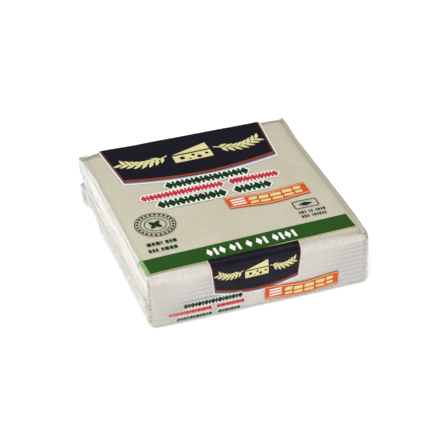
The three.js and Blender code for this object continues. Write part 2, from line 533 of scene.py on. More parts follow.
def make_film(name, veil, folded, streaks, sheer, colour, roughness, crinkle, cloud, streak_scale):
    """Film that lets light through, mirrors a little and veils what is behind it.

    Its veil is milky where the piece says folded. Where the piece says loose or the film is seen
    edge on, the veil is grey: painted shade.
    """
    material, tree, output = new_material(name)
    effect = add_node(tree, "ShaderNodeGroup", {
        "Crinkle Scale": crinkle[0], "Crinkle Depth": crinkle[1],
        "Cloud Scale": cloud[0], "Cloud Contrast": cloud[1], "Streak Scale": streak_scale,
    }, node_tree=CRINKLE).outputs
    folds, loose = (
        add_node(tree, "ShaderNodeAttribute", attribute_name=label).outputs["Fac"]
        for label in ("folded", "loose")
    )
    facing = add_node(tree, "ShaderNodeLayerWeight", {"Blend": 0.5}).outputs["Facing"]

    uneven = math_node(tree, "MULTIPLY", effect["Cloud"], 2 * veil)
    streak = math_node(tree, "SUBTRACT", effect["Streak"], 0.5)
    streak = math_node(tree, "MULTIPLY", streak, streaks)
    streak = math_node(tree, "ADD", streak, folded)
    streak = math_node(tree, "MULTIPLY", streak, folds)
    # Film seen edge on gets the grey veil of painted shade.
    rim = add_node(tree, "ShaderNodeMapRange", {
        "Value": facing, "From Min": EDGE_ON_SHADE_START, "From Max": 1.0,
    }, interpolation_type="SMOOTHSTEP")
    shade_grey = math_node(tree, "MAXIMUM", loose, rim.outputs["Result"])
    amount = math_node(tree, "ADD", uneven, streak)
    shade_grey_amount = math_node(tree, "MULTIPLY", shade_grey, PAINTED_SHADE_VEIL)
    amount = math_node(tree, "ADD", amount, shade_grey_amount, clamp=True)

    veil_colour = add_node(tree, "ShaderNodeMix", {
        "Factor": shade_grey, "A": (*colour, 1), "B": (*PAINTED_SHADE_GREY, 1),
    }, data_type="RGBA").outputs["Result"]
    lit = add_node(tree, "ShaderNodeBsdfPrincipled", {
        "Base Color": veil_colour, "Roughness": 0.45, "Normal": effect["Normal"],
    })
    glowing = add_node(tree, "ShaderNodeBsdfTranslucent", {"Color": veil_colour})
    milky = mix_shaders(tree, sheer, lit, glowing)
    veiled = mix_shaders(tree, amount, add_node(tree, "ShaderNodeBsdfTransparent"), milky)

    grazing = math_node(tree, "POWER", facing, 5.0)
    grazing = math_node(tree, "MULTIPLY", grazing, GRAZING_SHINE)
    layers = math_node(tree, "MULTIPLY", folds, LAYER_SHINE)
    shine = math_node(tree, "ADD", math_node(tree, "ADD", grazing, layers), STRAIGHT_ON_SHINE)
    mirror = add_node(tree, "ShaderNodeBsdfAnisotropic", {
        "Color": (1, 1, 1, 1), "Roughness": roughness, "Normal": effect["Normal"],
    })
    glossy = mix_shaders(tree, shine, veiled, mirror)
    set_inputs(output, {"Surface": glossy.outputs[0]})
    return material


film_material = make_film(
    "clear_film", veil=0.004, folded=0.52, streaks=1.15, sheer=0.2, colour=(0.705, 0.69, 0.615),
    roughness=0.13, crinkle=(110.0, 0.25), cloud=(38.0, 1.4), streak_scale=(260.0, 26.0, 640.0),
)
wrapper_material = make_film(
    "slice_wrapper", veil=0.1, folded=0.84, streaks=0.4, sheer=0.25, colour=(0.765, 0.722, 0.65),
    roughness=0.24, crinkle=(160.0, 0.2), cloud=(55.0, 1.2), streak_scale=(620.0, 60.0, 480.0),
)
seal_material = make_film(
    "seal_film", veil=0.28, folded=0.3, streaks=0.9, sheer=0.2, colour=(0.74, 0.72, 0.64),
    roughness=0.2, crinkle=(150.0, 0.4), cloud=(80.0, 1.6), streak_scale=(200.0, 30.0, 500.0),
)
# %% [markdown]
# ### Cheese
# A processed slice is smooth, dense and slightly waxy. Light goes a little way in, so it has
# some subsurface scattering, and its colour drifts a little from place to place.

# %% The cheese's material
CHEESE_COLOURS = ((0.565, 0.532, 0.412), (0.611, 0.578, 0.456))


def make_cheese():
    """Smooth, dense cheese that lets light in a little way."""
    material, tree, output = new_material("cheese")
    place = object_place(tree)
    drift = add_noise(tree, place, {"Scale": 45.0, "Detail": 3.0, "Roughness": 0.5})
    colours = add_node(tree, "ShaderNodeValToRGB", {"Fac": drift})
    for element, position, colour in zip(colours.color_ramp.elements, (0.3, 0.7), CHEESE_COLOURS):
        element.position, element.color = position, (*colour, 1)
    pores = add_noise(tree, place, {"Scale": 900.0, "Detail": 2.0})
    bump = add_node(tree, "ShaderNodeBump", {"Strength": 0.12, "Distance": 0.0001, "Height": pores})
    body = add_node(tree, "ShaderNodeBsdfPrincipled", {
        "Base Color": colours.outputs["Color"], "Roughness": 0.42, "Normal": bump.outputs["Normal"],
        "Subsurface Weight": 0.25, "Subsurface Scale": 0.003, "Subsurface Radius": (1.0, 0.8, 0.5),
    })
    set_inputs(output, {"Surface": body.outputs[0]})
    return material


cheese_material = make_cheese()
# %% [markdown]
# ### Ink
# Printed ink isn't perfectly even: its density wanders, and tiny pinholes let the film through.
# All the inks share one node group for that, and differ only in their colour.

# %% The unevenness of print
def make_print_group():
    """How dense the ink is at each point, from a slow drift and a fine grain."""
    group, given, result = new_group(
        "ink_density", {"Drift": 0.08, "Grain": 0.06}, {"Density": "NodeSocketFloat"}
    )
    place = object_place(group)
    total = 1.0
    for scale, amount in ((70.0, "Drift"), (2600.0, "Grain")):
        noise = add_noise(group, place, {"Scale": scale, "Detail": 2.0})
        part = math_node(group, "SUBTRACT", noise, 0.5)
        part = math_node(group, "MULTIPLY", part, given[amount])
        total = math_node(group, "ADD", total, part)
    set_inputs(result, {"Density": total})
    return group


INK_DENSITY = make_print_group()

# %% The inks
INK_COLOURS = {
    "navy": (0.006, 0.0055, 0.012),
    "green": (0.018, 0.080, 0.009),
    # A paler green for the band's end over the left edge: a painted highlight of the bend.
    "mint": (0.22, 0.37, 0.15),
    "pine": (0.007, 0.034, 0.006),
    "red": (0.50, 0.028, 0.045),
    "rust": (0.28, 0.056, 0.018),
    "maroon": (0.16, 0.02, 0.017),
    "orange": (0.60, 0.088, 0.014),
    "gold": (0.68, 0.62, 0.30),
    "blue": (0.18, 0.27, 0.46),
    "white": (0.80, 0.80, 0.76),
}


def make_ink(name, colour):
    """One ink: its colour, a little lighter or darker as its density wanders."""
    material, tree, output = new_material(name)
    effect = add_node(tree, "ShaderNodeGroup", node_tree=INK_DENSITY)
    shade = add_node(tree, "ShaderNodeMix", {
        "Factor": 1.0, "A": (*colour, 1), "B": effect.outputs["Density"],
    }, data_type="RGBA", blend_type="MULTIPLY")
    body = add_node(tree, "ShaderNodeBsdfPrincipled", {
        "Base Color": shade.outputs["Result"], "Roughness": 0.35, "Specular IOR Level": 0.03,
    })
    set_inputs(output, {"Surface": body.outputs[0]})
    return material


INKS = {name: make_ink("print_" + name, colour) for name, colour in INK_COLOURS.items()}
# %% [markdown]
# ## The outer film
# The film is the block's skin moved onto the surface function. It is one closed sheet. Its
# attribute called folded says where it lies double, at the ends and the corners, and so looks
# milky. The one called loose carries painted shade: a grey veil where nothing lies behind the
# film, and along the top of the right end.

# %% Make the film
ROUND_LINES = 9
FILM_STEPS = (1.3, 0.8, 0.2)
BAND_VEIL_BACK, BAND_VEIL_FRONT = (35.4, 36.2), (45.9, 46.6)


def folded_share(x, y, z):
    """How much milky veil the film gets: double at the ends and corners, less over the print, and a
    painted highlight along the left top edge.
    """
    from_end = HALF[0] - np.abs(x)
    left, right = x < 0, x > 0
    ends = 1 - ramp(from_end, 1.6, 3.3)
    # Along the left top edge the veil is raised: a painted highlight of the rounded edge.
    ends *= np.where(right, 1 - 0.3 * ramp(z, 19, 23), 1 + 0.25 * ramp(z, 21, 24))
    ends *= 1 - 0.3 * ramp(-y, 30, 46)
    printed = ramp(-y, *BAND_VEIL_BACK) * (1 - ramp(-y, *BAND_VEIL_FRONT)) * ramp(z, 20.5, 22.5)
    printed = printed * left
    beside = 0.1 * (1 - ramp(from_end, 2.4, 5.5)) * left
    ends = np.maximum(ends, beside) * (1 - printed)
    left_corner = 0.4 * (1 - ramp(from_end, 4, 20)) * ramp(np.abs(y), 46, 48) * left
    right_corner = 1.2 * (1 - ramp(from_end, 1.8, 4.5)) * ramp(-y, 41, 45) * right
    corners = np.maximum(left_corner, right_corner) * (1 - ramp(z, 19, 23))
    return np.maximum(ends, corners)


def loose_shade_share(x, y, z, ear):
    """Painted grey shade: where the film hangs free along the back and at the ears, and over the
    right rim.
    """
    hanging = ramp(y, 27, 44) * (1 - ramp(x, -46.5, -45)) * ramp(z, 9, 14)
    top = ramp(z, 22.0, 24.2)
    ears = ramp(ear, 0.1, 0.5) * (y > 0)
    # Painted shade along the top of the right end.
    rim = 0.8 * ramp(x, HALF[0] - 1.8, HALF[0] - 0.7) * ramp(z, 13, 18)
    return np.maximum(np.maximum(hanging * (1 - top), ears * (1 - 0.5 * top)), rim)


def make_film_wrap():
    lines = [
        edge_lines(half, low, high, ROUND_LINES, step)
        for half, low, high, step in zip(
            HALF, (CORNER_RADIUS, CORNER_RADIUS, BOTTOM_EDGE_RADIUS),
            (CORNER_RADIUS, CORNER_RADIUS, TOP_EDGE_RADIUS), FILM_STEPS,
        )
    ]
    lines[2] = lines[2] + HALF[2]
    points, quads = block_skin(lines)
    place = film_place(points)
    piece = make_piece("film_wrap", place, quads, film_material)
    add_weights(piece, "folded", folded_share(*place.T))
    add_weights(piece, "loose", loose_shade_share(*place.T, ear_share(points)))
    return piece


film_wrap = make_film_wrap()
# %% [markdown]
# ## Contents that stay inside
# The slices are soft, so at the edges of the stack they bend with the film. Modelling each one
# bent would be slow. Instead, they are stacked flat, and one function settles every point: it
# shrinks the block's shells onto rounded ones and keeps each point clear of the folds.

# %% Settle a point inside the film
CONTENT_GAP = 0.34
CONTENT_EAR = 0.5
PRESS_SOFTNESS = 0.12


def press(value, room):
    """Keeps a distance from the middle within its room, softly, so that layers keep their order."""
    within = room - PRESS_SOFTNESS * np.log1p(np.exp((room - np.abs(value)) / PRESS_SOFTNESS))
    return np.sign(value) * np.maximum(within, 0)


def settle(points):
    """Moves points of the flat stack to where they lie in the rounded pack."""
    centred = press((points - [0, 0, HALF[2]]) * (1 - CONTENT_GAP / HALF), HALF)
    shell = np.max(np.abs(centred) / HALF, axis=1)
    outer = centred / np.maximum(shell, 1e-6)[:, None] + [0, 0, HALF[2]]
    rounded, _ = round_off(outer, film_radii)
    top_ear = ear_share(outer) * ramp(outer[:, 2], 20, 24)
    rounded += (outer - rounded) * CONTENT_EAR * top_ear[:, None]
    rounded[:, 2] -= EAR_DROOP * top_ear
    place = (rounded - [0, 0, HALF[2]]) * shell[:, None] + [0, 0, HALF[2]]
    x, y, z = place.T.copy()
    up = z - HALF[2]
    place[:, 0] = press(x, HALF[0] - end_depth(x, y, z) - CONTENT_GAP)
    place[:, 1] = press(y, HALF[1] - rib_depth(z, x) - CONTENT_GAP)
    place[:, 2] = HALF[2] + press(up, HALF[2] - CONTENT_GAP - FLOOR_GAP * (up < 0))
    place[:, 2] -= corner_sag(x, y, z)
    return place


# %% [markdown]
# ## Stacking with Geometry Nodes
# Twelve slices follow a rule, so one node tree makes any stack: it puts a copy of its shape on
# each point of an upright line, shifts and turns each copy a little with a fixed seed, and makes
# the copies real. The slices and their sleeves use the same seed, so each sleeve fits its slice.

# %% Build the stacking tree
STACK_INPUTS = {
    "Count": "Int", "First": "Vector", "Step": "Vector", "Shift": "Vector",
    "Turn": "Vector", "Seed": "Int", "Material": "Material",
}


def new_tree(name, inputs):
    """A Geometry Nodes tree that takes and gives a geometry, with those named inputs."""
    tree = bpy.data.node_groups.new(name, "GeometryNodeTree")
    tree.interface.new_socket("Geometry", in_out="INPUT", socket_type="NodeSocketGeometry")
    for label, kind in inputs.items():
        tree.interface.new_socket(label, in_out="INPUT", socket_type="NodeSocket" + kind)
    tree.interface.new_socket("Geometry", in_out="OUTPUT", socket_type="NodeSocketGeometry")
    return tree, add_node(tree, "NodeGroupInput").outputs, add_node(tree, "NodeGroupOutput")


def finish_tree(tree, given, result, geometry):
    """Ends a tree: the copies are made real and get the material."""
    real = add_node(tree, "GeometryNodeRealizeInstances", {0: geometry})
    painted = add_node(tree, "GeometryNodeSetMaterial", {
        "Geometry": real.outputs[0], "Material": given["Material"],
    })
    set_inputs(result, {"Geometry": painted.outputs[0]})


def random_vector(tree, spread, seed):
    """A random vector between minus and plus the spread socket, for each point."""
    minus = scaled(tree, spread, -1.0)
    return add_node(tree, "FunctionNodeRandomValue", {
        "Min": minus, "Max": spread, "Seed": seed,
    }, data_type="FLOAT_VECTOR").outputs["Value"]


def scaled(tree, vector, share):
    """A vector made longer or shorter."""
    inputs = {0: vector, "Scale": share}
    return add_node(tree, "ShaderNodeVectorMath", inputs, operation="SCALE").outputs[0]


def stack_copies(tree, given, shape):
    """Copies of a shape on an upright line of points, each a little shifted and turned."""
    line = add_node(tree, "GeometryNodeMeshLine", {
        "Count": given["Count"], "Start Location": given["First"], "Offset": given["Step"],
    }, mode="OFFSET")
    moved = add_node(tree, "GeometryNodeSetPosition", {
        "Geometry": line.outputs[0], "Offset": random_vector(tree, given["Shift"], given["Seed"]),
    })
    return add_node(tree, "GeometryNodeInstanceOnPoints", {
        "Points": moved.outputs[0], "Instance": shape,
        "Rotation": random_vector(tree, given["Turn"], given["Seed"]),
    }).outputs[0]


def make_stack_tree():
    tree, given, result = new_tree("stack_of_copies", STACK_INPUTS)
    finish_tree(tree, given, result, stack_copies(tree, given, given["Geometry"]))
    return tree


STACK_TREE = make_stack_tree()
# %% Run a tree and read its result
def run_tree(piece, tree, **values):
    """Runs a tree on an object, and returns the points in millimetres and the faces it makes."""
    modifier = piece.modifiers.new(tree.name, "NODES")
    modifier.node_group = tree
    for item in tree.interface.items_tree:
        if item.in_out == "INPUT" and item.name in values:
            modifier[item.identifier] = values[item.name]
    graph = bpy.context.evaluated_depsgraph_get()
    mesh = bpy.data.meshes.new_from_object(piece.evaluated_get(graph), depsgraph=graph)
    points = np.empty(len(mesh.vertices) * 3, dtype=np.float32)
    mesh.vertices.foreach_get("co", points)
    faces = np.empty(len(mesh.loops), dtype=np.int32)
    mesh.loops.foreach_get("vertex_index", faces)
    sides = len(mesh.loops) // len(mesh.polygons)
    bpy.data.objects.remove(piece)
    bpy.data.meshes.remove(mesh)
    return points.reshape(-1, 3).astype(float) / MM, faces.reshape(-1, sides)


# %% [markdown]
# ## Slices and sleeves
# A slice is a thin slab with soft edges. Its wrapper is a sleeve that fits close round it, drawn
# as a slightly larger slab of clear film. Both are stacked by the tree, then settled.

# %% Make the slices and their sleeves
SLICE_SIZE = (94.4, 96.6, 1.9)
SLEEVE_MARGIN = (0.3, 0.3, 0.08)
SLAB_CORNER = 2.4
STACK_SHIFT = (0.35, 0.45, 0.0)
STACK_TURN = (0.0, 0.0, 0.006)
STACK_SEED = 11


def make_slab(name, size, edge, material):
    """A flat slab with rounded edges, centred on the origin."""
    half = np.array(size) / 2
    lines = [
        edge_lines(half[0], SLAB_CORNER, SLAB_CORNER, 4, 2.4),
        edge_lines(half[1], SLAB_CORNER, SLAB_CORNER, 4, 2.4),
        edge_lines(half[2], edge, edge, 3, half[2]),
    ]
    points, quads = block_skin(lines)
    radii = np.array([SLAB_CORNER, SLAB_CORNER, edge])
    core = np.clip(points, radii - half, half - radii)
    out = unit((points - core) / radii)
    return make_piece(name, core + out * radii, quads, material)


def stack_up(piece, material, shift, tree=STACK_TREE, **values):
    """Stacks copies of a piece, one for each slice."""
    step = Vector((0, 0, SLICE_PITCH * MM))
    return run_tree(
        piece, tree, Count=SLICE_COUNT, First=step / 2, Step=step,
        Shift=Vector(shift) * MM, Seed=STACK_SEED, Material=material, **values,
    )


def make_stacked(name, size, edge, material):
    """A stack of slabs, settled inside the film."""
    slab = make_slab(name + "_slab", size, edge, material)
    points, faces = stack_up(slab, material, STACK_SHIFT, Turn=Vector(STACK_TURN))
    return make_piece(name, settle(points), faces, material)


sleeve_size = [size + margin for size, margin in zip(SLICE_SIZE, SLEEVE_MARGIN)]
cheese_slices = make_stacked("cheese_slices", SLICE_SIZE, 0.7, cheese_material)
slice_sleeves = make_stacked("slice_sleeves", sleeve_size, 0.9, wrapper_material)


# %% [markdown]
# ## The crimped tails
# At the front and back each wrapper ends in a tail: two films sealed together between hot ribbed
# bars, so the tail has fine upright ridges. The outer film folds the tails down over the rows
# below. A strip is bent once along a curve, and a second tree presses the ridges into it, puts
# it on each slice, tips each one a little differently and lets it waver.

# %% Build the crimping tree
WAVER_SCALE = 130.0


def make_tail_tree():
    tree, given, result = new_tree("crimped_tails", {
        **STACK_INPUTS, "Ridge Pitch": "Float", "Ridge Height": "Float", "Waver": "Float",
    })
    place = add_node(tree, "GeometryNodeInputPosition").outputs[0]
    across = add_node(tree, "ShaderNodeSeparateXYZ", {0: place}).outputs["X"]
    turns = math_node(tree, "DIVIDE", across, given["Ridge Pitch"])
    ridge = math_node(tree, "SINE", math_node(tree, "MULTIPLY", turns, 2 * math.pi))
    ridge = math_node(tree, "MULTIPLY", ridge, given["Ridge Height"])
    crimp = add_node(
        tree, "GeometryNodeInputNamedAttribute", {"Name": "crimp"}, data_type="FLOAT"
    ).outputs["Attribute"]
    ridge = math_node(tree, "MULTIPLY", ridge, crimp)
    normal = add_node(tree, "GeometryNodeInputNormal").outputs[0]
    crimped = add_node(tree, "GeometryNodeSetPosition", {
        "Geometry": given["Geometry"], "Offset": scaled(tree, normal, ridge),
    })
    stacked = stack_copies(tree, given, crimped.outputs[0])
    real = add_node(tree, "GeometryNodeRealizeInstances", {0: stacked})

    noise = add_node(tree, "ShaderNodeTexNoise", {
        "Scale": WAVER_SCALE, "Detail": 1.0,
    }, noise_dimensions="3D")
    centred = add_node(tree, "ShaderNodeVectorMath", {
        0: noise.outputs["Color"], 1: (0.5, 0.5, 0.5),
    }, operation="SUBTRACT")
    amount = math_node(tree, "MULTIPLY", given["Waver"], crimp)
    loose = add_node(tree, "GeometryNodeSetPosition", {
        "Geometry": real.outputs[0], "Offset": scaled(tree, centred.outputs[0], amount),
    })
    finish_tree(tree, given, result, loose.outputs[0])
    return tree


TAIL_TREE = make_tail_tree()
# %% Make the tails
RIDGE_PITCH = 1.25
RIDGE_HEIGHT = 0.06
POINTS_PER_RIDGE = 4
TAIL_ROOT = 3.6
TAIL_RISE = 1.02
TAIL_STRAIGHT = 3.35
TAIL_LEG = 3.2
TAIL_BEND = 0.9
TAIL_TURN = math.radians(87.5)
TAIL_ROWS = 13
TAIL_WIDTH = 93.6
TAIL_SHIFT = (0.35, 0.12, 0.0)
TAIL_TILT = (0.004, 0.0, 0.003)
TAIL_WAVER = 0.2
TAIL_FILM = 0.05
VEIL_START = {-1: 0.5, 1: 2.4}
# How dark the painted shade between the ridge tips gets.
BEAD_SHADE_DEPTH = 0.85


def tail_profile(share):
    """A tail's place out from the slice and up, for shares from its root to its free edge."""
    arc = TAIL_BEND * TAIL_TURN
    run = share * (TAIL_STRAIGHT + arc + TAIL_LEG)
    angle = np.clip((run - TAIL_STRAIGHT) / TAIL_BEND, 0, TAIL_TURN)
    leg = np.maximum(run - TAIL_STRAIGHT - arc, 0)
    out = np.minimum(run, TAIL_STRAIGHT) + TAIL_BEND * np.sin(angle) + leg * math.cos(TAIL_TURN)
    down = TAIL_BEND * (1 - np.cos(angle)) + leg * math.sin(TAIL_TURN)
    return out, -down


def painted_bead_shade(points):
    """Painted shade that greys the tails between their ridge tips, so that the tips show as bright
    dots.

    There is a row of dots on each tail, out of step with its neighbours, fainter in places. The
    top tail has none where it bends over the edge.
    """
    x, _, z = points.T
    row = np.floor(z / SLICE_PITCH)
    across = np.cos(2 * math.pi * (x / RIDGE_PITCH + 0.37 * row))
    upright = np.cos(2 * math.pi * (z / SLICE_PITCH - 0.5))
    patchy = ramp(waves(points * [1, 0, 1.6], 34, 51), -2.2, 1.0) * (1 - ramp(z, 20.5, 22.3))
    return BEAD_SHADE_DEPTH * patchy * (1 - (1 + across) * (1 + upright) / 4)


def make_tails(name, side):
    """The tails at the front, with side -1, or at the back, with side 1.

    Their rows of points are a little closer together towards the free edge.
    """
    columns = round(TAIL_WIDTH / RIDGE_PITCH * POINTS_PER_RIDGE)
    share, x = np.meshgrid(
        np.linspace(0, 1, TAIL_ROWS) ** 0.8, np.linspace(-TAIL_WIDTH / 2, TAIL_WIDTH / 2, columns),
        indexing="ij",
    )
    out, up = tail_profile(share.ravel())
    root = sleeve_size[1] / 2 - TAIL_ROOT
    flat = np.stack([x.ravel(), side * (root + out), up + TAIL_RISE], axis=1)
    quads = grid_quads(share.shape, rows_first=False)
    quads = quads if side > 0 else quads[:, ::-1]
    strip = make_piece(name + "_strip", flat, quads, wrapper_material)
    add_weights(strip, "crimp", ramp(share.ravel(), 0.45, 0.62))
    points, faces = stack_up(
        strip, wrapper_material, TAIL_SHIFT, TAIL_TREE, Turn=Vector(TAIL_TILT), **{
            "Ridge Pitch": RIDGE_PITCH * MM, "Ridge Height": RIDGE_HEIGHT * MM,
            "Waver": TAIL_WAVER * MM,
        },
    )
    inner = points + [0, -side * TAIL_FILM, 0.5 * TAIL_FILM]
    closed, faces = thicken(settle(points), settle(inner), faces)
    piece = make_piece(name, closed, faces, wrapper_material, sheet=True)
    start = root + VEIL_START[side]
    add_weights(piece, "folded", ramp(np.abs(closed[:, 1]), start, start + 1.8))
    # The weight called loose carries painted shade between the ridge tips here.
    add_weights(piece, "loose", painted_bead_shade(closed))
    return piece


tails_front = make_tails("wrapper_tails_front", -1)
tails_back = make_tails("wrapper_tails_back", 1)


# %% [markdown]
# ## The end seals
# At each end the flattened tube is sealed between ribbed bars. The seal is a strip about eight
# millimetres high with ridges along it, and it lies folded down on the end, with its free edge
# just off the film. It is drawn as its own closed sheet, so its edges and ridges catch the light.

# %% Make the end seals
SEAL_STEP = 0.55
SEAL_ROWS = 44
SEAL_FILM = 0.22
SEAL_HANG = 0.3
SEAL_DROP = 0.6
SEAL_INSET = 4.2
CALM_INSET = 10.0
END_DIVE = 1.1


def seal_place(side, y, z, depth):
    """The seal's surface: ridges along it, a wavering free edge, and its ends at the corners."""
    share = np.clip((z - SEAL_FREE_HEIGHT) / (SEAL_FOLD_HEIGHT - SEAL_FREE_HEIGHT), 0, 1)
    ridges = CRIMP_DEPTH * (1 + np.cos(2 * math.pi * CRIMP_COUNT * share)) / 2
    block = np.stack([np.full(len(y), side * HALF[0]), y, z], axis=1)
    place, out = round_off(block, film_radii)
    ear = ear_share(block)[:, None]
    place = place * (1 - ear) + block * ear
    wander = waves(np.stack([y, z * 2, y * 0], axis=1), 17, 21 + side)
    free = 1 - share
    calm = calm_share(block[:, 0], y)
    ridges *= 1 - 0.6 * calm
    inset = np.where((y < 0) & (side > 0), CALM_INSET, SEAL_INSET)
    dive = END_DIVE * (1 - ramp(HALF[1] - inset - np.abs(y), 0, 2.3))
    depth = depth + dive + pinch_depth(block[:, 0], y, z) + 1.6 * CALM_DEPTH * calm
    gap = 0.16 * free ** 2 * np.maximum(1 + wander, 0)
    place[:, 0] -= side * (ridges + depth + gap + 0.25 * ramp(share, 0.85, 1))
    place[:, 2] += free * (SEAL_HANG * wander - SEAL_DROP * (1 - ramp(y, 12, 32)))
    return place


def make_seal(name, side):
    """The seal of the left end, with side -1, or the right end, with side 1."""
    front_inset = CALM_INSET if side > 0 else SEAL_INSET
    columns = round((2 * HALF[1] - 0.6) / SEAL_STEP)
    y, z = np.meshgrid(
        np.linspace(front_inset - HALF[1], HALF[1] - SEAL_INSET, columns),
        np.linspace(SEAL_FREE_HEIGHT, SEAL_FOLD_HEIGHT, SEAL_ROWS), indexing="ij",
    )
    quads = grid_quads(y.shape)
    quads = quads if side > 0 else quads[:, ::-1]
    y, z = y.ravel(), z.ravel()
    points, faces = thicken(seal_place(side, y, z, 0.02), seal_place(side, y, z, SEAL_FILM), quads)
    piece = make_piece(name, points, faces, seal_material, sheet=True)
    add_weights(piece, "folded", ramp(np.abs(points[:, 1]), HALF[1] - 15, HALF[1] - 11))
    return piece


seal_left = make_seal("end_seal_left", -1)
seal_right = make_seal("end_seal_right", 1)


# %% [markdown]
# ## The seam underneath
# The tube's own seam runs along the underside, left to right, as a flat fin folded to one side.
# It is what the pack really rests on. Ridges run across it, from the wheels that sealed it.

# %% Make the underside seam
SEAM_WIDTH = 9.0
SEAM_LENGTH = 84.0
SEAM_STEP = 0.4
SEAM_ROWS = 12
SEAM_PITCH = 1.6
SEAM_RIDGE = 0.05
SEAM_BOTTOM, SEAM_TOP = 0.06, 0.2


def make_seam():
    columns = round(SEAM_LENGTH / SEAM_STEP)
    x, y = np.meshgrid(
        np.linspace(-SEAM_LENGTH / 2, SEAM_LENGTH / 2, columns),
        np.linspace(-SEAM_WIDTH / 2, SEAM_WIDTH / 2, SEAM_ROWS), indexing="ij",
    )
    quads = grid_quads(x.shape, rows_first=False)
    x, y = x.ravel(), y.ravel()
    ridge = SEAM_RIDGE * np.cos(2 * math.pi * x / SEAM_PITCH)
    ridge *= ramp(SEAM_WIDTH / 2 - np.abs(y), 0, 0.8)
    below, above = (np.stack([x, y, z + ridge], axis=1) for z in (SEAM_BOTTOM, SEAM_TOP))
    points, faces = thicken(below, above, quads)
    piece = make_piece("underside_seam", points, faces, seal_material, sheet=True)
    add_weights(piece, "folded", np.ones(len(points)))
    return piece


underside_seam = make_seam()


# %% [markdown]
# ## Laying ink on the film
# The print is drawn flat, as the printer sees it, on the unrolled tube: x runs along the pack and
# s runs round it, with 0 in the middle of the top and growing towards the front. One function
# rolls a point back onto the film. A shape is filled with small triangles, so that it can bend
# over edges and ribs, and gets a second side just behind the first, so that it is closed.

# %% From the unrolled tube to the film
FLAT_S = HALF[1] - CORNER_RADIUS
FLAT_X = HALF[0] - CORNER_RADIUS
EDGE_ARC = math.pi / 2 * (CORNER_RADIUS + TOP_EDGE_RADIUS) / 2
SIDE_TOP = HEIGHT - TOP_EDGE_RADIUS
NUDGE = 0.03


def roll_edge(run, flat, half):
    """For a distance from the middle of the top: how far out and how high on the sharp block."""
    quarter, eighth = math.pi / 2, math.pi / 4
    over = np.maximum(np.abs(run) - flat, 0)
    angle = np.clip(over / EDGE_ARC * quarter, 0, quarter)
    before, after = np.minimum(angle, eighth), np.maximum(angle, eighth)
    out = np.where(over > 0, flat + CORNER_RADIUS * np.tan(before), np.abs(run))
    bent_height = SIDE_TOP + TOP_EDGE_RADIUS * np.tan(quarter - after)
    height = np.where(angle > eighth, bent_height, HEIGHT)
    height = np.where(over > EDGE_ARC, SIDE_TOP - (over - EDGE_ARC), height)
    return np.sign(run) * np.minimum(out, half), height


def on_block(x, s):
    """The sharp block's point for places on the unrolled tube."""
    y, front_height = roll_edge(s, FLAT_S, HALF[1])
    across, end_height = roll_edge(x, FLAT_X, HALF[0])
    return np.stack([across, -y, np.minimum(front_height, end_height)], axis=1)


def on_film(x, s, depth):
    """The place that deep under the film, for places on the unrolled tube."""
    along = film_place(on_block(x + NUDGE, s)) - film_place(on_block(x - NUDGE, s))
    around = film_place(on_block(x, s + NUDGE)) - film_place(on_block(x, s - NUDGE))
    return film_place(on_block(x, s)) - depth * unit(np.cross(around, along))


# %% Fill a flat shape with triangles
FLAT_STEP = 3.0
BENT_STEP = 0.3
ALONG_STEP = 1.0
RIM_CLEARANCE = 0.12


def is_bent(points):
    """Which flat points lie where the film isn't flat."""
    return (np.abs(points[:, 0]) > FLAT_X - 0.5) | (np.abs(points[:, 1]) > FLAT_S - 0.5)


def fill_grid(low, high):
    """Points inside a rectangle: far apart on the flat top, and close together where it bends."""
    def grid(step_x, step_s):
        x = np.arange(low[0] + step_x / 2, high[0], step_x)
        s = np.arange(low[1] + step_s / 2, high[1], step_s)
        return np.stack(np.meshgrid(x, s), axis=-1).reshape(-1, 2)

    coarse, fine = grid(FLAT_STEP, FLAT_STEP), grid(ALONG_STEP, BENT_STEP)
    return np.concatenate([coarse[~is_bent(coarse)], fine[is_bent(fine)]])


def refine(loop):
    """The same outline with points close together where the film isn't flat."""
    result = []
    bent = is_bent(loop)
    for number, start in enumerate(loop):
        end = loop[(number + 1) % len(loop)]
        step = BENT_STEP if bent[number] or bent[(number + 1) % len(loop)] else FLAT_STEP
        pieces = max(1, math.ceil(np.linalg.norm(end - start) / step))
        result += [start + (end - start) * share for share in np.arange(pieces) / pieces]
    return np.array(result)


def inside(points, loops):
    """Which points lie in an odd number of the loops."""
    odd = np.zeros(len(points), dtype=bool)
    x, s = points.T
    for loop in loops:
        for (x0, s0), (x1, s1) in zip(loop, np.roll(loop, -1, axis=0)):
            if s0 == s1:
                continue
            crossed = (s > min(s0, s1)) & (s <= max(s0, s1))
            odd ^= crossed & (x < x0 + (s - s0) * (x1 - x0) / (s1 - s0))
    return odd


def fill(loops):
    """Fills outlines and their holes with triangles. Returns flat points and faces."""
    loops = [refine(np.asarray(loop, dtype=float)) for loop in loops]
    rim = np.concatenate(loops)
    edges, first = [], 0
    for loop in loops:
        numbers = first + np.arange(len(loop))
        edges += list(zip(numbers.tolist(), np.roll(numbers, -1).tolist()))
        first += len(loop)
    grid = fill_grid(rim.min(axis=0), rim.max(axis=0))
    grid = grid[inside(grid, loops)]
    clear = [np.min(np.linalg.norm(rim - point, axis=1)) > RIM_CLEARANCE for point in grid]
    grid = grid[np.array(clear, dtype=bool)]
    every = [Vector(point) for point in np.concatenate([rim, grid]).tolist()]
    points, _, faces, _, _, _ = delaunay_2d_cdt(every, edges, [], 0, 1e-5)
    points, faces = np.array([tuple(point) for point in points]), np.array(faces)
    keep = inside(points[faces].mean(axis=1), loops)
    return points, faces[keep]


# %% Collect the ink of each colour
INK_FILM = 0.02
LAYER_STEP = 0.035
FIRST_LAYER = 0.05
ink_sheets = {name: [] for name in INKS}


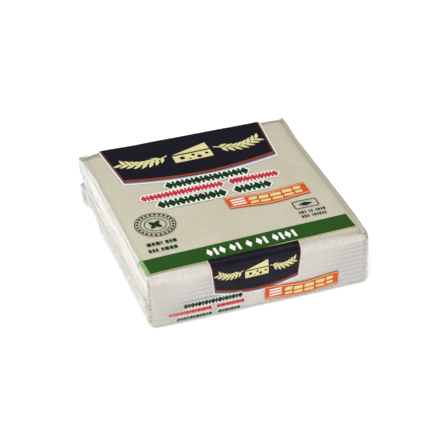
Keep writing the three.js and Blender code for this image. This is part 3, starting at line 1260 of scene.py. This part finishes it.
def print_flat(ink, layer, points, faces):
    """Lays flat triangles under the film in one ink. Layer 0 is nearest the film."""
    a, b, c = (points[faces[:, i]] for i in range(3))
    ab, ac = b - a, c - a
    face_in = ab[:, 0] * ac[:, 1] - ab[:, 1] * ac[:, 0] > 0
    faces = np.where(face_in[:, None], faces[:, ::-1], faces)
    depth = FIRST_LAYER + layer * LAYER_STEP
    front = on_film(points[:, 0], points[:, 1], depth)
    back = on_film(points[:, 0], points[:, 1], depth + INK_FILM)
    ink_sheets[ink].append(thicken(front, back, faces))


def print_shape(ink, layer, *loops):
    """Prints one shape, an outline with any holes, in one ink."""
    print_flat(ink, layer, *fill(loops))


# %% [markdown]
# ## Shapes for the print
# Each field of colour is an outline with only the points that it needs. Round stretches come
# from a formula.

# %% Plain outlines
def disc(x, s, radius, points=28):
    angle = np.linspace(0, 2 * math.pi, points, endpoint=False)
    return np.stack([x + radius * np.cos(angle), s + radius * np.sin(angle)], axis=1)


def bar(x, s, length, height, slant=0.0, radius=0.35):
    """A bar centred on a place, with rounded corners and a slant like italic print."""
    radius = min(radius, height / 2, length / 2)
    corner = np.linspace(0, math.pi / 2, 5)
    half = np.array([length / 2 - radius, height / 2 - radius])
    parts = []
    for number, (side, end) in enumerate([(1, 1), (-1, 1), (-1, -1), (1, -1)]):
        angle = corner + number * math.pi / 2
        parts.append(half * [side, end] + radius * np.stack([np.cos(angle), np.sin(angle)], axis=1))
    loop = np.concatenate(parts)
    loop[:, 0] -= slant * loop[:, 1]
    return loop + [x, s]


def lozenge(x, s, width, height):
    corners = np.array([[1, 0], [0, 1], [-1, 0], [0, -1]])
    return [x, s] + corners * [width / 2, height / 2]


def leaf(length, width, points=7):
    """A leaf that starts at the origin and points along x."""
    share = np.linspace(0, 1, points)
    swell = width / 2 * np.sin(math.pi * share ** 0.8)
    upper = np.stack([share * length, swell], axis=1)
    return np.concatenate([upper, upper[-2:0:-1] * [1, -1]])


# %% [markdown]
# ## Motifs along a curve with Geometry Nodes
# Leaves on a sprig, dots round a ring and lozenges in a row are all the same job: copies of one
# small shape along a guide. This tree takes the guide as its own geometry and the motif as an
# object, turns each motif along the guide, and can lean them to either side in turn, as leaves
# do. It works flat, in the print's own plane, and the result is then rolled onto the film.

# %% Build the motif tree
def make_motif_tree():
    tree, given, result = new_tree("motifs_along_a_curve", {
        "Motif": "Object", "Count": "Int", "Lean": "Float", "Material": "Material",
    })
    spots = add_node(tree, "GeometryNodeCurveToPoints", {
        "Curve": given["Geometry"], "Count": given["Count"],
    }, mode="COUNT")
    shape = add_node(tree, "GeometryNodeObjectInfo", {
        "Object": given["Motif"],
    }, transform_space="ORIGINAL")
    along = add_node(tree, "ShaderNodeSeparateXYZ", {0: spots.outputs["Tangent"]})
    heading = math_node(tree, "ARCTAN2", along.outputs["Y"], along.outputs["X"])
    number = add_node(tree, "GeometryNodeInputIndex").outputs[0]
    side = math_node(tree, "MULTIPLY", math_node(tree, "MODULO", number, 2.0), 2.0)
    side = math_node(tree, "SUBTRACT", side, 1.0)
    turn = math_node(tree, "ADD", heading, math_node(tree, "MULTIPLY", side, given["Lean"]))
    upright = add_node(tree, "ShaderNodeCombineXYZ", {"Z": turn})
    copies = add_node(tree, "GeometryNodeInstanceOnPoints", {
        "Points": spots.outputs["Points"], "Instance": shape.outputs["Geometry"],
        "Rotation": upright.outputs[0],
    })
    finish_tree(tree, given, result, copies.outputs[0])
    return tree
MOTIF_TREE = make_motif_tree()
MOTIF_EDGE = 0.45


def print_motifs(ink, layer, motif_loops, guide, count, lean=0.0, closed=False):
    """Prints copies of a motif along a guide of flat points."""
    points, faces = fill(motif_loops)
    while max(abs(guide[:, 1])) > FLAT_S and longest_edge(points, faces) > MOTIF_EDGE:
        points, faces = split_triangles(points, faces)
    motif = make_piece("motif", np.column_stack([points, np.zeros(len(points))]), faces, INKS[ink])
    curve = bpy.data.curves.new("guide", "CURVE")
    curve.dimensions = "3D"
    spline = curve.splines.new("POLY")
    spline.points.add(len(guide) - 1)
    for point, (x, s) in zip(spline.points, guide):
        point.co = (x * MM, s * MM, 0, 1)
    spline.use_cyclic_u = closed
    holder = bpy.data.objects.new("guide", curve)
    bpy.context.scene.collection.objects.link(holder)
    placed, faces = run_tree(
        holder, MOTIF_TREE, Motif=motif, Count=count, Lean=lean, Material=INKS[ink]
    )
    bpy.data.objects.remove(motif)
    print_flat(ink, layer, placed[:, :2], faces)


def longest_edge(points, faces):
    return np.linalg.norm(points[faces] - points[np.roll(faces, 1, axis=1)], axis=2).max()


def split_triangles(points, faces):
    """Cuts each triangle into four, so that a motif can bend over the ribs."""
    middles = {}
    points = points.tolist()

    def middle(a, b):
        key = (min(a, b), max(a, b))
        if key not in middles:
            middles[key] = len(points)
            points.append([(points[a][0] + points[b][0]) / 2, (points[a][1] + points[b][1]) / 2])
        return middles[key]

    small = []
    for a, b, c in faces.tolist():
        ab, bc, ca = middle(a, b), middle(b, c), middle(c, a)
        small += [[a, ab, ca], [ab, b, bc], [ca, bc, c], [ab, bc, ca]]
    return np.array(points), np.array(small)


def straight(x0, x1, s):
    """A guide that runs straight along the pack."""
    return np.array([[x0, s], [x1, s]])


def arc(x, s, radius, start, end, points=24):
    """A guide that is part of a circle, with its angles in degrees."""
    angle = np.radians(np.linspace(start, end, points))
    return np.stack([x + radius * np.cos(angle), s + radius * np.sin(angle)], axis=1)


# %% [markdown]
# ## The dark panels
# A dark panel stands at the back of the top, and a smaller one on the front. Each has a curved
# foot with stripes under it. The stripes are the same outline grown a little and printed one
# layer further in, so they show only as edges. On them stands a plain golden picture: a wedge
# of cheese with holes between two sprigs.

# %% Print the panels
PANEL_INKS = [
    ("navy", 0.0, 0.0), ("rust", 0.3, 1.2), ("maroon", 0.6, 1.9), ("blue", 0.65, 2.8),
    ("white", 1.2, 3.6),
]
TOP_PANEL = dict(
    middle=-1.6, top=-54.0, foot=-22.0, half_top=36.4, half_foot=33.4, sag=4.6, grow=1.0
)
FRONT_PANEL = dict(
    middle=-2.4, top=44.4, foot=60.0, half_top=19.0, half_foot=17.2, sag=2.8, grow=0.55
)

# The wedge's corners and holes, for a wedge that reaches 1 to each side
WEDGE_TOP = np.array([[-1.0, 0.02], [0.95, -0.62], [1.0, -0.02]])
WEDGE_SIDE = np.array([[-1.0, 0.14], [1.0, 0.1], [1.0, 0.72], [-1.0, 0.76]])
WEDGE_HOLES = [
    (-0.55, 0.42, 0.14), (0.05, 0.3, 0.1), (0.32, 0.52, 0.13), (0.75, 0.36, 0.1),
    (-0.18, 0.58, 0.07),
]


def panel_outline(middle, top, foot, half_top, half_foot, sag, side, below):
    """A panel from its top edge to a foot that sags in the middle, grown at its sides and foot."""
    share = np.linspace(-1, 1, 25)
    foot_edge = np.stack([
        middle + (half_foot + side) * share, foot + below + sag * np.cos(share * math.pi / 2)
    ], axis=1)
    reach = half_top + side
    return np.concatenate([foot_edge, [[middle + reach, top], [middle - reach, top]]])


def print_panel(grow, **shape):
    for layer, (ink, side, below) in enumerate(PANEL_INKS, start=1):
        print_shape(ink, layer, panel_outline(**shape, side=side * grow, below=below * grow))


def print_wedge(x, s, size):
    """A wedge of cheese: a slanted top, and a side with round holes."""
    print_shape("gold", 0, WEDGE_TOP * size + [x, s])
    print_shape("gold", 0, WEDGE_SIDE * size + [x, s], *[
        disc(x + dx * size, s + ds * size, radius * size, 14) for dx, ds, radius in WEDGE_HOLES
    ])


def print_sprigs(x, s, reach, gap, leaf_length, count):
    """A leafy sprig on each side of a place, its stem a shallow arc."""
    share = np.linspace(0, 1, 20)
    rise = 0.16 * reach * np.sin(math.pi * share)
    half_width = 0.0175 * reach
    for side in (-1, 1):
        stem = np.stack([x + side * (gap + reach * share), s + rise], axis=1)
        print_shape("gold", 0, np.concatenate([stem + [0, half_width], stem[::-1] - [0, half_width]]))
        print_motifs("gold", 0, [leaf(leaf_length, leaf_length * 0.36)], stem[2:], count, lean=0.75)


print_panel(**TOP_PANEL)
print_wedge(-1.6, -34.0, size=8.6)
print_sprigs(-1.6, -34.5, reach=20.0, gap=10.5, leaf_length=4.6, count=15)
print_panel(**FRONT_PANEL)
print_wedge(-2.4, 53.4, size=4.9)
print_sprigs(-2.4, 53.2, reach=10.0, gap=5.6, leaf_length=2.5, count=13)
# %% [markdown]
# ## Rows under the panels
# Three rows of small shapes, green, red and green, stand where a pack says what it holds. Each
# is a row of lozenges with bars between them, on a white ground.

# %% Print the rows
def print_beads(ink, layer, start, end, s, height, count, grown=0.0):
    """Lozenges with upright bars between them. Grown makes each a little bigger all round."""
    pitch = (end - start) / count
    first, last = start + pitch / 2, end - pitch / 2
    print_motifs(ink, layer, [lozenge(0, 0, pitch * 0.92 + grown * 1.3, height + grown * 1.3)],
                 straight(first, last, s), count)
    print_motifs(ink, layer, [bar(0, 0, pitch * 0.27 + grown, height * 0.92 + grown)],
                 straight(first + pitch / 2, last - pitch / 2, s), count - 1)


def print_row(ink, s, height, pitch, *words):
    """A row of beads in groups, each on white beads that show round them as a line."""
    for start, end in words:
        count = max(2, round((end - start) / pitch))
        print_beads(ink, 1, start, end, s, height, count)
        print_beads("white", 2, start, end, s, height, count, grown=height * 0.24)


print_row("pine", -11.6, 5.8, 4.3, (-20.5, 17))
print_row("red", -5.4, 4.9, 3.4, (-33, 3.4), (5.6, 28))
print_row("pine", 1.2, 6.0, 4.4, (-28, 2.6), (5.4, 22.5))
print_row("pine", 64.6, 2.8, 2.8, (-33.4, -8))
print_row("red", 67.6, 2.5, 2.2, (-39.6, -21), (-19.6, -7.4))
print_row("pine", 70.6, 2.6, 2.6, (-36.4, -20.8), (-19.2, -9))


# %% [markdown]
# ## The band, the ribbons and the small marks
# A green band runs along the front edge of the top, a little askew, as the film was wrapped. It
# goes over the left edge, where it is printed in a paler green as a painted highlight of the bend.
# A thin gold line along its front edge is a painted highlight too. An orange ribbon waves on the top
# and on the front.

# %% Print the band
BAND_TURN = math.radians(1.9)
BAND_LEFT, BAND_BEND, BAND_RIGHT = -48.2, -46.5, 40.9
BAND_BACK, BAND_FRONT = 34.9, 44.4
BAND_MOTIFS_START = (-20.2, 39.7)
BAND_MOTIF_GROUPS = (3, 2, 1, 2, 4)
BAND_MOTIF_PITCH = 2.7
BAND_GROUP_GAP = 1.6


def turned(loop):
    """A loop turned as the band lies."""
    cos, sin = math.cos(BAND_TURN), math.sin(BAND_TURN)
    x, s = loop.T
    return np.stack([x * cos + s * sin, s * cos - x * sin], axis=1)


def box_loop(left, right, back, front):
    return np.array([[left, back], [right, back], [right, front], [left, front]])


def print_band():
    """The band with its pale end and a thin gold line at its front, both painted highlights, and
    white motifs in groups on it.
    """
    print_shape("green", 1, turned(box_loop(BAND_BEND, BAND_RIGHT, BAND_BACK, BAND_FRONT)))
    # The band's end over the left edge is printed paler: a painted highlight of the bent film.
    print_shape("mint", 1, turned(box_loop(BAND_LEFT, BAND_BEND, BAND_BACK, BAND_FRONT)))
    # A thin gold line shows along the band's front edge and its right end: a painted highlight.
    edge = box_loop(BAND_BEND, BAND_RIGHT + 0.2, BAND_BACK + 1, BAND_FRONT + 0.3)
    print_shape("gold", 2, turned(edge))
    x, s = BAND_MOTIFS_START
    for count in BAND_MOTIF_GROUPS:
        for number in range(count):
            motif = bar(x, s, 1.2, 4.9) if number % 2 else lozenge(x, s, 2.7, 5.1)
            print_shape("white", 0, turned(motif))
            x += BAND_MOTIF_PITCH
        x += BAND_GROUP_GAP


print_band()


# %% Print the ribbons
# Places and sizes on a ribbon, as shares of its length and its height
RIBBON_BARS = ((0.32, 0.1), (0.45, 0.12), (0.6, 0.13), (0.75, 0.12), (0.88, 0.09))
RIBBON_ROWS = ((-0.15, 0.24), (0.17, 0.18))
SLICES_AT, SLICES_LENGTH, SLICE_GAP, SLICE_BAR = 0.14, 0.17, 0.2, 0.11


def ribbon(left, right, middle, height, wave):
    """A waving ribbon: its two long edges follow one wave."""
    share = np.linspace(0, 1, 31)
    x = left + (right - left) * share
    line = middle + wave * np.cos(2 * math.pi * share)
    return np.concatenate([
        np.stack([x, line - height / 2], axis=1), np.stack([x, line + height / 2], axis=1)[::-1]
    ])


def print_ribbon(left, right, middle, height, wave):
    """An orange ribbon with a pale edge line, a stack of slices on it, and two rows of bars."""
    print_shape("orange", 2, ribbon(left, right, middle, height, wave))
    for edge in (-0.4 * height, 0.4 * height):
        line = ribbon(left + 0.3, right - 0.3, middle + edge, 0.035 * height, wave)
        print_shape("gold", 1, line)
    width = right - left

    def print_bar(ink, share, up, length, size, **style):
        s = middle + wave * math.cos(2 * math.pi * share) + up * height
        print_shape(ink, 0, bar(left + width * share, s, width * length, height * size, **style))

    for step in (-1, 0, 1):
        up = step * SLICE_GAP
        print_bar("white", SLICES_AT, up, SLICES_LENGTH, SLICE_BAR, slant=0.6, radius=0.3)
    for up, size in RIBBON_ROWS:
        for share, length in RIBBON_BARS:
            print_bar("gold", share, up, length, size, slant=0.25)


print_ribbon(-0.6, 34.8, middle=10.6, height=8.6, wave=-0.9)
print_ribbon(1.2, 32.6, middle=67.4, height=6.4, wave=-0.7)


# %% Print the small marks
ROUND_MARK = (-32.8, 14.0)
ROUND_MARK_RINGS = ((8.5, 0.35), (6.2, 0.3), (4.6, 0.3))
FRAME_MARK = (29.6, 20.8)


def print_round_mark():
    """A round mark: rings, a ring of dots and four petals."""
    for radius, line in ROUND_MARK_RINGS:
        print_shape("pine", 1, disc(*ROUND_MARK, radius, 48), disc(*ROUND_MARK, radius - line, 48))
    print_motifs("pine", 1, [disc(0, 0, 0.55, 10)], arc(*ROUND_MARK, 7.3, 0, 345), 24)
    for quarter in range(4):
        angle = math.radians(45 + 90 * quarter)
        cos, sin = math.cos(angle), math.sin(angle)
        petal = leaf(3.4, 1.9) @ np.array([[cos, sin], [-sin, cos]])
        print_shape("pine", 1, petal + ROUND_MARK)


def print_frame_mark():
    """A lozenge in a frame with rounded corners."""
    outer = bar(*FRAME_MARK, 10.6, 5.6, radius=1.0)
    print_shape("pine", 1, outer, bar(*FRAME_MARK, 9.8, 4.8, radius=0.7))
    print_shape("pine", 1, lozenge(*FRAME_MARK, 6.4, 2.6))


def print_marks(left, s, height, widths, words, seed):
    """A line of small upright bars of uneven width, in groups, as small as small print."""
    draw = np.random.default_rng(seed)
    x = left
    for count in words:
        for _ in range(count):
            width = draw.uniform(*widths)
            print_shape("pine", 1, bar(x + width / 2, s, width, height, radius=0.25))
            x += width + 0.45
        x += 0.9


print_round_mark()
print_marks(-40.4, 27.0, height=2.1, widths=(0.5, 1.7), words=(4, 3), seed=4)
print_marks(-41.0, 31.4, height=2.1, widths=(0.5, 1.7), words=(3, 4), seed=6)
print_frame_mark()
print_marks(24.6, 26.4, height=1.7, widths=(0.4, 1.0), words=(3, 2, 4), seed=12)
print_marks(24.6, 29.4, height=1.7, widths=(0.4, 1.0), words=(3, 6), seed=15)
# %% Join the ink of each colour into a piece
def join_sheets(sheets):
    points, faces, first = [], [], 0
    for sheet_points, sheet_faces in sheets:
        points.append(sheet_points)
        faces.append(sheet_faces + first)
        first += len(sheet_points)
    return np.concatenate(points), np.concatenate(faces)


ink_pieces = {
    ink: make_piece("print_" + ink, *join_sheets(sheets), INKS[ink], smooth=False)
    for ink, sheets in ink_sheets.items()
}

# %% [markdown]
# ## Riding on the frame
# Nothing moves in a pack, so every piece rides on its one body. The film stands for the solid of
# the frame. The table below lists a finish for each piece.

# %% Tie the pieces to the frame
SLOTS = {
    film_wrap: "clear_film",
    seal_left: "clear_film",
    seal_right: "clear_film",
    underside_seam: "clear_film",
    cheese_slices: "cheese",
    slice_sleeves: "slice_wrapper",
    tails_front: "slice_wrapper",
    tails_back: "slice_wrapper",
}
SHARED_SLOTS = {"rust": "red", "maroon": "red", "pine": "green", "mint": "green"}
SLOTS.update({piece: "print_" + SHARED_SLOTS.get(ink, ink) for ink, piece in ink_pieces.items()})
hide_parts("cheese_pack")
for piece, slot in SLOTS.items():
    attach(piece, "root")


# %% [markdown]
# ## Floor, light and camera
# A pale floor stands for the plain white ground of the photo. Soft boxes light the pack: a broad
# one above, one at the far left that draws a bright line along the left edge, and a weak one in
# front. Clear film shows its lights as mirror images, so their places matter more than usual.

# %% The floor
FLOOR_SIZE = 6000.0


def make_floor():
    material, tree, output = new_material("studio_floor")
    body = add_node(tree, "ShaderNodeBsdfPrincipled", {
        "Base Color": (0.9, 0.9, 0.9, 1), "Roughness": 0.7,
        "Emission Color": (1, 1, 1, 1), "Emission Strength": 0.33,
    })
    set_inputs(output, {"Surface": body.outputs[0]})
    corners = np.array([[-1, -1, 0], [1, -1, 0], [1, 1, 0], [-1, 1, 0]]) * FLOOR_SIZE / 2
    return make_piece("studio_floor", corners, [[0, 1, 2, 3]], material, smooth=False)
make_floor()


# %% The lights
def soft_box(name, place, size, power, aim=(0, 0, 0.012)):
    """A square area light at a place in metres, aimed at the pack."""
    light = bpy.data.lights.new(name, "AREA")
    light.shape = "RECTANGLE"
    light.size, light.size_y = size
    light.energy = power
    lamp = bpy.data.objects.new(name, light)
    lamp.location = place
    lamp.rotation_euler = (Vector(aim) - Vector(place)).to_track_quat("-Z", "Y").to_euler()
    bpy.context.scene.collection.objects.link(lamp)


soft_box("light_key", (-0.52, -0.34, 0.66), (0.7, 0.7), 5.0)
soft_box("light_above", (0.0, 0.1, 0.9), (0.8, 0.8), 2.6)
soft_box("light_right", (0.75, -0.6, 0.6), (0.6, 0.6), 1.8)
soft_box("light_front", (0.1, -1.0, 0.3), (0.8, 0.35), 1.2)
soft_box("light_edge", (-0.45, 0.62, 0.24), (0.4, 0.3), 1.15)


# %% The world
ROOM_LIGHT = 0.4
ROOM_IN_GLOSS = 0.12


def make_world():
    """A soft room: pale past the floor, and dim where the film mirrors it."""
    world = bpy.data.worlds.new("studio")
    world.use_nodes = True
    tree = world.node_tree
    tree.nodes.clear()
    path = add_node(tree, "ShaderNodeLightPath").outputs
    mirrored = math_node(tree, "MULTIPLY", path["Is Glossy Ray"], ROOM_IN_GLOSS - ROOM_LIGHT)
    seen = math_node(tree, "MULTIPLY", path["Is Camera Ray"], 1 - ROOM_LIGHT)
    strength = math_node(tree, "ADD", math_node(tree, "ADD", mirrored, ROOM_LIGHT), seen)
    room = add_node(tree, "ShaderNodeBackground", {"Color": (1, 1, 1, 1), "Strength": strength})
    add_node(tree, "ShaderNodeOutputWorld", {"Surface": room.outputs[0]})
    bpy.context.scene.world = world
make_world()
bpy.context.scene.view_settings.view_transform = "Standard"


# %% [markdown]
# ### The camera
# The photo was matched by laying the pack's outline over it. Its place is kept as two angles, a
# distance and a long lens, and a slight roll, because the photographer's camera wasn't level.

# %% Place the camera
CAMERA_AZIMUTH = math.radians(-19.43)
CAMERA_ELEVATION = math.radians(33.97)
CAMERA_ROLL = math.radians(-0.59)
CAMERA_DISTANCE = 669.5
CAMERA_TARGET = (-0.86, -5.43, 13.0)
LENS = 129.87


def place_camera():
    """The camera at its distance behind the target, looking along its two angles."""
    cos_a, sin_a = math.cos(CAMERA_AZIMUTH), math.sin(CAMERA_AZIMUTH)
    cos_e, sin_e = math.cos(CAMERA_ELEVATION), math.sin(CAMERA_ELEVATION)
    back = Vector((sin_a * cos_e, -cos_a * cos_e, sin_e))
    right = Vector((cos_a, sin_a, 0))
    up = back.cross(right)
    cos_r, sin_r = math.cos(CAMERA_ROLL), math.sin(CAMERA_ROLL)
    right, up = cos_r * right + sin_r * up, cos_r * up - sin_r * right
    camera = bpy.data.objects.new("camera", bpy.data.cameras.new("camera"))
    camera.data.lens = LENS
    camera.data.clip_start, camera.data.clip_end = 0.01, 20
    place = (Vector(CAMERA_TARGET) + back * CAMERA_DISTANCE) * MM
    turn = Matrix((right, up, back)).transposed().to_4x4()
    camera.matrix_world = Matrix.Translation(place) @ turn
    bpy.context.scene.collection.objects.link(camera)
    bpy.context.scene.camera = camera


place_camera()
